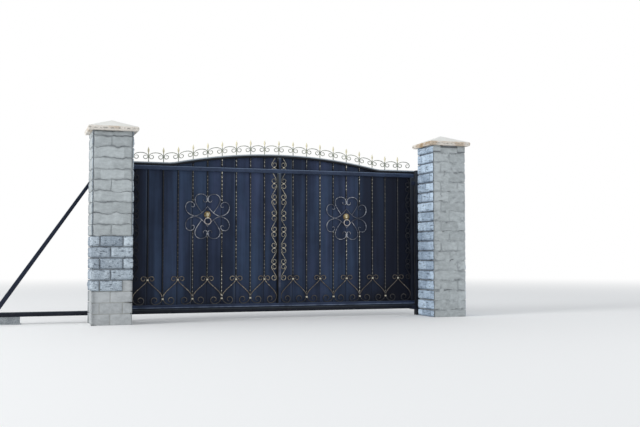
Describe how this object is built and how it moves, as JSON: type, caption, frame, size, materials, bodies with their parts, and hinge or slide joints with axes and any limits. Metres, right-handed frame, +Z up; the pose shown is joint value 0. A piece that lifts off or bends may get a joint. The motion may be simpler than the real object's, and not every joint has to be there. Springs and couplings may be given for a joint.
{
  "type": "wrought iron sliding driveway gate with block pillars",
  "caption": "Cantilevered sliding driveway gate with an arched top, scrollwork over sheet steel, lion-mask rings and two capped block pillars.",
  "frame": {"origin": "middle of the left pillar's foot, on the ground", "axes": "+X along the gate towards the right pillar as seen from the street, +Y from the street into the yard, +Z up"},
  "size_m": [6.81, 0.965, 2.751],
  "materials": {
    "block_stone": "split-faced concrete block with smeared joints",
    "cap_stone": "weathered off-white cast stone",
    "zinc_steel": "dull galvanised steel",
    "frame_paint": "satin blue-black paint on steel tube",
    "sheet_paint": "satin blue-black paint on sheet steel",
    "bronze_patina": "black paint rubbed with bronze patina on forged bar",
    "gold_paint": "pale gold paint on cast iron"
  },
  "bodies": {
    "pillars": {"left_pillar": "block_stone", "right_pillar": "block_stone", "left_cap": "cap_stone", "right_cap": "cap_stone", "front_carriage": "zinc_steel", "rear_carriage": "zinc_steel", "guide_post": "frame_paint", "top_guide": "zinc_steel", "closing_post": "frame_paint", "lower_catcher": "frame_paint", "upper_catcher": "frame_paint"},
    "leaf": {"roller_rail": "frame_paint", "bottom_tube": "frame_paint", "left_stile": "frame_paint", "right_stile": "frame_paint", "centre_stile": "frame_paint", "straight_rail": "frame_paint", "arched_rail": "frame_paint", "guide_channel": "frame_paint", "tail_post": "frame_paint", "tail_brace": "frame_paint", "left_sheet": "sheet_paint", "right_sheet": "sheet_paint", "left_arch_sheet": "sheet_paint", "right_arch_sheet": "sheet_paint", "left_bars": "bronze_patina", "right_bars": "bronze_patina", "left_hearts": "bronze_patina", "right_hearts": "bronze_patina", "left_rosette": "bronze_patina", "right_rosette": "bronze_patina", "left_lion_mask": "gold_paint", "right_lion_mask": "gold_paint", "left_end_chain": "bronze_patina", "left_centre_chain": "bronze_patina", "right_centre_chain": "bronze_patina", "right_end_chain": "bronze_patina", "left_cresting": "bronze_patina", "right_cresting": "bronze_patina", "spear_points": "gold_paint"},
    "left_knocker": {"left_ring": "gold_paint"},
    "right_knocker": {"right_ring": "gold_paint"}
  },
  "joints": [
    {"name": "leaf_slide", "type": "slide", "parent": "pillars", "child": "leaf", "axis": [-1, 0, 0], "range_m": [0, 4.38]},
    {"name": "left_ring_swing", "type": "hinge", "parent": "leaf", "child": "left_knocker", "pos_m": [1.401, 0.328, 1.458], "axis": [-1, 0, 0], "range_deg": [0, 75]},
    {"name": "right_ring_swing", "type": "hinge", "parent": "leaf", "child": "right_knocker", "pos_m": [3.539, 0.328, 1.458], "axis": [-1, 0, 0], "range_deg": [0, 75]}
  ]
}
